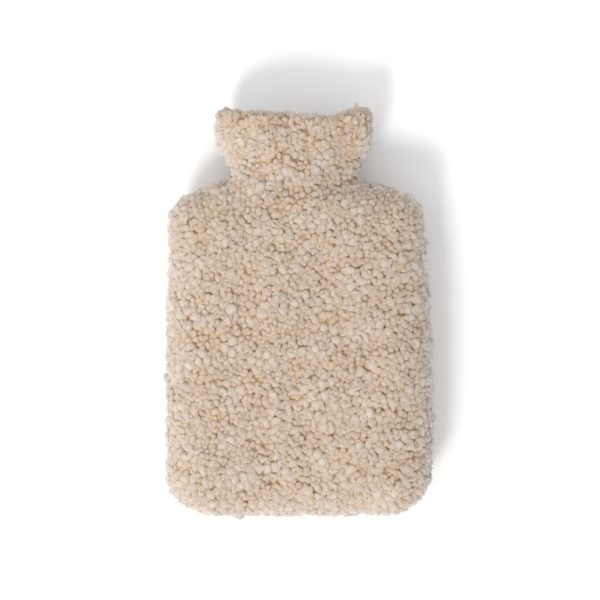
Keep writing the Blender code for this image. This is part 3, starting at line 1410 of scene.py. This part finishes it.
@dataclass
class Board:
    """A node tree, wired in the order in which its nodes are added."""

    tree: bpy.types.NodeTree

    def feed(self, node: bpy.types.Node, place: str | int, value: object) -> None:
        """Give an input of a node a value, or link it to a socket.

        Args:
            node: The node.
            place: The input's name or number.
            value: The socket or value that it takes.
        """
        if isinstance(value, bpy.types.NodeSocket):
            self.tree.links.new(value, node.inputs[place])
        else:
            node.inputs[place].default_value = value

    def add(self, kind: str, *values: object, **settings: object) -> bpy.types.Node:
        """Add a node.

        Args:
            kind: The node's type.
            values: Pairs of an input's name or number, and the socket or value it takes.
            settings: Settings of the node itself.

        Returns:
            The node.
        """
        node = self.tree.nodes.new(kind)
        for name, setting in settings.items():
            setattr(node, name, setting)
        for place, value in zip(values[::2], values[1::2]):
            self.feed(node, place, value)
        return node

    def math(self, operation: str, first: object, *others: object) -> bpy.types.NodeSocket:
        """Combine values in turn, as a sum or a product.

        Args:
            operation: What is done with them.
            first: The first value.
            others: The values that follow, or none where the operation takes a single one.

        Returns:
            The result.
        """
        result = first
        for other in others or (0.0,):
            result = self.add("ShaderNodeMath", 0, result, 1, other, operation=operation).outputs[0]
        return result

    def pattern(self, name: str, output: str = "Fac") -> bpy.types.NodeSocket:
        """Return one of the values that a mesh holds at its points."""
        return self.add("ShaderNodeAttribute", attribute_name=name).outputs[output]

    def noise(self, place: bpy.types.NodeSocket, scale: float, detail: float) -> bpy.types.NodeSocket:
        """Return a cloudy pattern, from 0 to 1."""
        node = self.add("ShaderNodeTexNoise", "Vector", place, "Scale", scale, "Detail", detail)
        return node.outputs["Fac"]

    def fibres(self, place: bpy.types.NodeSocket, scale: float) -> bpy.types.NodeOutputs:
        """Place the group of fine fibres and return its outputs."""
        group = self.add("ShaderNodeGroup", "Vector", place, "Scale", scale, node_tree=fibre_group())
        return group.outputs

    def wave(self, kind: str, turn: bpy.types.NodeSocket) -> bpy.types.NodeSocket:
        """Return the sine or cosine of a turn, from 0 to 1."""
        return self.math("MULTIPLY", self.math("ADD", self.math(kind, turn), 1.0), 0.5)

    def spread(self, value: object, low: float, high: float) -> bpy.types.NodeSocket:
        """Return a value from 0 to 1 spread over a range."""
        node = self.add("ShaderNodeMapRange", "Value", value, "To Min", low, "To Max", high)
        return node.outputs["Result"]

    def ramp(self, value: object, stops: tuple[tuple[float, Colour], ...]) -> bpy.types.NodeSocket:
        """Colour a value through some stops.

        Args:
            value: The value to follow.
            stops: Each stop's place and colour.

        Returns:
            The colour.
        """
        node = self.add("ShaderNodeValToRGB", "Fac", value)
        elements = node.color_ramp.elements
        for element, (place, colour) in zip((elements[0], elements[1]), (stops[0], stops[-1])):
            element.position, element.color = place, (*colour, 1)
        for place, colour in stops[1:-1]:
            elements.new(place).color = (*colour, 1)
        return node.outputs["Color"]

    def mix(self, share: object, first: object, second: object, blend: str = "MIX") -> bpy.types.NodeSocket:
        """Mix two colours.

        Args:
            share: How much of the second colour to use.
            first: The first colour, or a socket that gives it.
            second: The second colour, or a socket that gives it.
            blend: How the second colour acts on the first.

        Returns:
            The mixed colour.
        """
        node = self.add("ShaderNodeMix", 0, share, data_type="RGBA", blend_type=blend)
        for place, value in ((6, first), (7, second)):
            self.feed(node, place, value if isinstance(value, bpy.types.NodeSocket) else (*value, 1))
        return node.outputs[2]

    def dress(
        self, shader: bpy.types.Node, colour: object, height: object, strength: float, depth: float
    ) -> None:
        """Give a shader its colour and its relief.

        Args:
            shader: The shader.
            colour: The colour.
            height: The relief's height.
            strength: How strongly the relief shows.
            depth: How deep one unit of height is, in metres.
        """
        bump = self.add("ShaderNodeBump", "Strength", strength, "Distance", depth, "Height", height)
        self.feed(shader, "Base Color", colour)
        self.feed(shader, "Normal", bump.outputs["Normal"])


def fibre_group() -> bpy.types.NodeTree:
    """Build the group that draws fine fibres, or find it where it is already there.

    Returns:
        A group with a Vector and a Scale, and the Fibres and the soft Clumps that it gives.
    """
    found = bpy.data.node_groups.get("fibres")
    if found:
        return found
    group = bpy.data.node_groups.new("fibres", "ShaderNodeTree")
    for name, way, kind in (
        ("Vector", "INPUT", "NodeSocketVector"),
        ("Scale", "INPUT", "NodeSocketFloat"),
        ("Fibres", "OUTPUT", "NodeSocketFloat"),
        ("Clumps", "OUTPUT", "NodeSocketFloat"),
    ):
        group.interface.new_socket(name=name, in_out=way, socket_type=kind)
    board = Board(group)
    given = board.add("NodeGroupInput")
    vector, scale = given.outputs["Vector"], given.outputs["Scale"]
    fine = board.add("ShaderNodeTexNoise", "Vector", vector, "Scale", scale, "Detail", 4.0,
                     "Roughness", 0.65, "Distortion", 0.3)
    coarse = board.add("ShaderNodeTexNoise", "Vector", vector, "Scale", board.math("MULTIPLY", scale, 0.3),
                       "Detail", 2.0)
    board.add("NodeGroupOutput", "Fibres", fine.outputs["Fac"], "Clumps", coarse.outputs["Fac"])
    return group


def new_finish(
    name: str, roughness: float, specular: float, sheen: float
) -> tuple[bpy.types.Material, Board, bpy.types.Node]:
    """Start a material.

    Args:
        name: The material's name.
        roughness: How dull it is.
        specular: How much it shines.
        sheen: How much soft light its fibres catch.

    Returns:
        The material, the board to wire it on, and its shader.
    """
    material = bpy.data.materials.new(name)
    material.use_nodes = True
    shader = material.node_tree.nodes["Principled BSDF"]
    shader.inputs["Roughness"].default_value = roughness
    shader.inputs["Specular IOR Level"].default_value = specular
    shader.inputs["Sheen Weight"].default_value = sheen
    shader.inputs["Sheen Roughness"].default_value = 0.5
    return material, Board(material.node_tree), shader


@dataclass(frozen=True)
class WoolFinish:
    """Soft curled wool: pale at its tips, warmer and browner towards its roots, partly its own colour and
    partly painted shade deep in the wool.
    """

    stops: tuple[tuple[float, Colour], ...] = (
        (0.35, (0.51, 0.344, 0.218)),
        (0.60, (0.524, 0.388, 0.276)),
        (0.80, (0.523, 0.423, 0.344)),
        (0.96, (0.553, 0.472, 0.417)),
        # Painted light: locks that face sideways are pushed towards this palest stop.
        (1.30, (0.560, 0.492, 0.436)),
    )
    # Painted shade: how much darker the colour gets down each lock's sides.
    lock_side_shade_share: float = 0.36
    # Painted shade: how much darker the colour gets inside each coil.
    coil_shade_share: float = 0.14
    pinkish: Colour = (1.01, 0.99, 0.985)
    yellowish: Colour = (0.99, 1.0, 0.96)
    relief_strength: float = 0.8
    relief_depth: float = 0.00012
    broad_scale: float = 24.0
    lump_scale: float = 520.0
    lump_height: float = 4.0
    fold_twist: float = 7.5
    fold_sharpness: float = 5.0
    fold_depth: float = 2.5
    strands: int = 15
    strand_twist: float = 26.0
    strand_wander: float = 9.0
    strand_height: float = 0.7
    streak_scale: float = 6.0
    streak_stretch: tuple[float, float, float] = (1.6, 1.0, 1.0)
    fuzz_scale: float = 1800.0
    shades: tuple[tuple[str, float, float], ...] = (
        ("broad", 0.945, 1.105),
        ("strands", 0.95, 1.05),
        ("lumps", 0.84, 1.16),
        # Painted shade: darker along the fold that winds round each lock.
        ("fold", 1.03, 0.89),
        ("tone", 0.965, 1.03),
        ("streaks", 0.93, 1.05),
        ("fuzz", 0.93, 1.06),
    )

    def colour(self, board: Board) -> bpy.types.NodeSocket:
        """Colour the wool by its height above the hide, browner lower down partly as painted shade, and
        darken it down each lock's sides and inside each coil as painted shade.

        Args:
            board: The material's board.

        Returns:
            The colour before it is shaded.
        """
        rim = board.math("MULTIPLY", board.pattern("rim"), self.lock_side_shade_share)
        coil_shade = board.math("MULTIPLY", board.pattern("coil_shade"), self.coil_shade_share)
        colour = board.ramp(board.math("SUBTRACT", board.pattern("level"), rim, coil_shade), self.stops)
        hue = board.mix(board.pattern("tone"), self.pinkish, self.yellowish)
        return board.mix(1.0, colour, hue, "MULTIPLY")

    def windings(
        self, board: Board, strand: bpy.types.NodeSocket, lumps: bpy.types.NodeSocket
    ) -> tuple[bpy.types.NodeSocket, bpy.types.NodeSocket]:
        """Draw what winds round a lock: a deep fold, whose colour is darkened as painted shade, and fine
        strands.

        Args:
            board: The material's board.
            strand: The place along and round the lock.
            lumps: The pattern that makes the fine strands wander.

        Returns:
            The deep fold and the fine strands, each from 0 to 1.
        """
        parts = board.add("ShaderNodeSeparateXYZ", 0, strand)
        angle = board.math("ARCTAN2", parts.outputs["Z"], parts.outputs["Y"])
        turn = board.math("ADD", angle, board.math("MULTIPLY", parts.outputs["X"], self.fold_twist))
        fold = board.math("POWER", board.wave("COSINE", turn), self.fold_sharpness)
        twist = board.math("MULTIPLY", parts.outputs["X"], self.strand_twist)
        wander = board.math("MULTIPLY", lumps, self.strand_wander)
        turn = board.math("ADD", twist, wander, board.math("MULTIPLY", angle, self.strands))
        return fold, board.wave("SINE", turn)

    def material(self) -> bpy.types.Material:
        """Build the material.

        Returns:
            The finished material.
        """
        material, board, shader = new_finish("curly_wool", 0.9, 0.2, 0.6)
        place = board.add("ShaderNodeTexCoord").outputs["Object"]
        strand = board.pattern("strand", "Vector")
        stretched = board.add(
            "ShaderNodeVectorMath", 0, strand, 1, self.streak_stretch, operation="MULTIPLY"
        )
        streaks = board.fibres(stretched.outputs[0], self.streak_scale)["Fibres"]
        fuzz = board.fibres(place, self.fuzz_scale)["Fibres"]
        lumps = board.noise(place, self.lump_scale, 2.0)
        fold, fine = self.windings(board, strand, lumps)
        values = {
            "broad": board.noise(place, self.broad_scale, 1.0),
            "strands": fine,
            "lumps": lumps,
            "fold": fold,
            "tone": board.pattern("tone"),
            "streaks": streaks,
            "fuzz": fuzz,
        }
        shade = board.math("MULTIPLY", *(board.spread(values[name], *span) for name, *span in self.shades))
        grey = board.add("ShaderNodeCombineColor", 0, shade, 1, shade, 2, shade).outputs["Color"]
        hairs = board.math("ADD", streaks, fuzz)
        height = board.math("ADD", board.math("MULTIPLY", lumps, self.lump_height), hairs)
        height = board.math("SUBTRACT", height, board.math("MULTIPLY", fold, self.fold_depth))
        height = board.math("ADD", height, board.math("MULTIPLY", fine, self.strand_height))
        colour = board.mix(1.0, self.colour(board), grey, "MULTIPLY")
        board.dress(shader, colour, height, self.relief_strength, self.relief_depth)
        return material


@dataclass(frozen=True)
class NapFinish:
    """A soft nap, for the suede inside, for the short wool close to the hide, and for the floor."""

    name: str
    dark: Colour
    light: Colour
    fibre_scale: float = 900.0
    cloud_scale: float = 45.0
    relief_depth: float = 0.0002
    relief_strength: float = 0.6
    dark_at: float = 0.36
    light_at: float = 0.64

    def material(self) -> bpy.types.Material:
        """Build the material.

        Returns:
            The finished material.
        """
        material, board, shader = new_finish(self.name, 0.92, 0.15, 0.2)
        place = board.add("ShaderNodeTexCoord").outputs["Object"]
        nap = board.fibres(place, self.fibre_scale)
        fibres = board.math("MULTIPLY", nap["Fibres"], 0.5)
        clouds = board.math("MULTIPLY", board.noise(place, self.cloud_scale, 3.0), 0.5)
        stops = ((self.dark_at, self.dark), (self.light_at, self.light))
        colour = board.ramp(board.math("ADD", fibres, clouds), stops)
        height = board.math("ADD", nap["Fibres"], nap["Clumps"])
        board.dress(shader, colour, height, self.relief_strength, self.relief_depth)
        return material


SUEDE = NapFinish("suede", (0.47, 0.35, 0.25), (0.62, 0.49, 0.38))
UNDERWOOL = NapFinish("underwool", (0.42, 0.29, 0.20), (0.55, 0.42, 0.31), 700.0, 90.0, 0.0006)
PAPER = NapFinish("paper", (0.88, 0.88, 0.88), (0.90, 0.90, 0.90), 60.0, 2.0, 0.00001)


# --------------------------------------------------------------------------- the whole cover


@dataclass
class Panel:
    """One panel: its hide, and the short wool that grows close to it."""

    side: Side
    node: str
    slot: str = "sheepskin"
    hide_thickness: float = 0.0015
    underwool_thickness: float = 0.0064
    underwool_share: float = 0.64

    def build(self, suede: bpy.types.Material, underwool: bpy.types.Material) -> list[bpy.types.Object]:
        """Build and dress the panel.

        Args:
            suede: The hide's finish.
            underwool: The short wool's finish.

        Returns:
            The hide and the short wool.
        """
        stem = self.node.replace("_panel", "")
        sheet = Sheet(f"{stem}_hide", self.side, self.hide_thickness)
        hide = sheet.build()
        hide.data.materials.append(suede)
        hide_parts(self.node)
        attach(hide, BODY)
        width, length, area = sheet.flat_size()
        area = min(area, width * length)
        LOG.info("%s: cut %.3f by %.3f m, %.4f square metres", hide.name, width, length, area)
        bed = Sheet(f"{stem}_underwool", self.side, self.underwool_thickness, self.underwool_share).build()
        bed.data.materials.append(underwool)
        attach(bed, BODY)
        return [hide, bed]


@dataclass
class Studio:
    """The floor, the lights and the camera."""

    picture_width: float = 0.524
    lens: float = 85.0
    sensor: float = 36.0
    aim: tuple[float, float, float] = (0.0017, 0.0105, 0.033)
    roll: float = 0.95
    near: float = 0.05
    far: float = 20.0
    floor_width: float = 6.0
    sky: float = 0.87
    lamps: tuple[Lamp, ...] = (
        Lamp("key", -0.66, -1.15, 1.05, 16.0, 1.85),
        Lamp("side", -1.30, 0.20, 0.60, 40.0, 0.55),
    )

    def build(self) -> None:
        """Set the studio up."""
        bpy.ops.object.select_all(action="DESELECT")
        bpy.ops.mesh.primitive_plane_add(size=self.floor_width)
        floor = bpy.context.object
        floor.name = "floor"
        floor.data.materials.append(PAPER.material())
        scene = bpy.context.scene
        distance = self.picture_width * self.lens / self.sensor
        data = bpy.data.cameras.new("camera")
        data.lens, data.sensor_width = self.lens, self.sensor
        data.clip_start, data.clip_end = self.near, self.far
        camera = bpy.data.objects.new("camera", data)
        camera.location = Vector(self.aim) + Vector((0, 0, distance))
        camera.rotation_euler = (0, 0, -math.radians(self.roll))
        scene.collection.objects.link(camera)
        scene.camera = camera
        world = bpy.data.worlds.new("studio")
        world.use_nodes = True
        background = world.node_tree.nodes["Background"]
        background.inputs["Color"].default_value = (1, 1, 1, 1)
        background.inputs["Strength"].default_value = self.sky
        scene.world = world
        for row in self.lamps:
            light = bpy.data.lights.new(row.name, "SUN")
            light.angle, light.energy = math.radians(row.spread), row.power
            lamp = bpy.data.objects.new(row.name, light)
            lamp.location = (row.x, row.y, row.z)
            lamp.rotation_euler = lamp.location.to_track_quat("Z", "Y").to_euler()
            scene.collection.objects.link(lamp)
        scene.view_settings.view_transform = "Standard"


def main() -> None:
    """Build the cover's looks and the studio."""
    logging.basicConfig(level=logging.INFO)
    suede, underwool = SUEDE.material(), UNDERWOOL.material()
    for side, node in ((Side.FRONT, "front_panel"), (Side.BACK, "back_panel")):
        for piece in Panel(side, node).build(suede, underwool):
            LOG.info("%s: %d faces", piece.name, len(piece.data.polygons))
    finish = WoolFinish().material()
    for piece in Wool().build():
        piece.data.materials.append(finish)
        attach(piece, BODY)
        LOG.info("%s: %d faces", piece.name, len(piece.data.polygons))
    Studio().build()


if __name__ == "__main__":
    main()
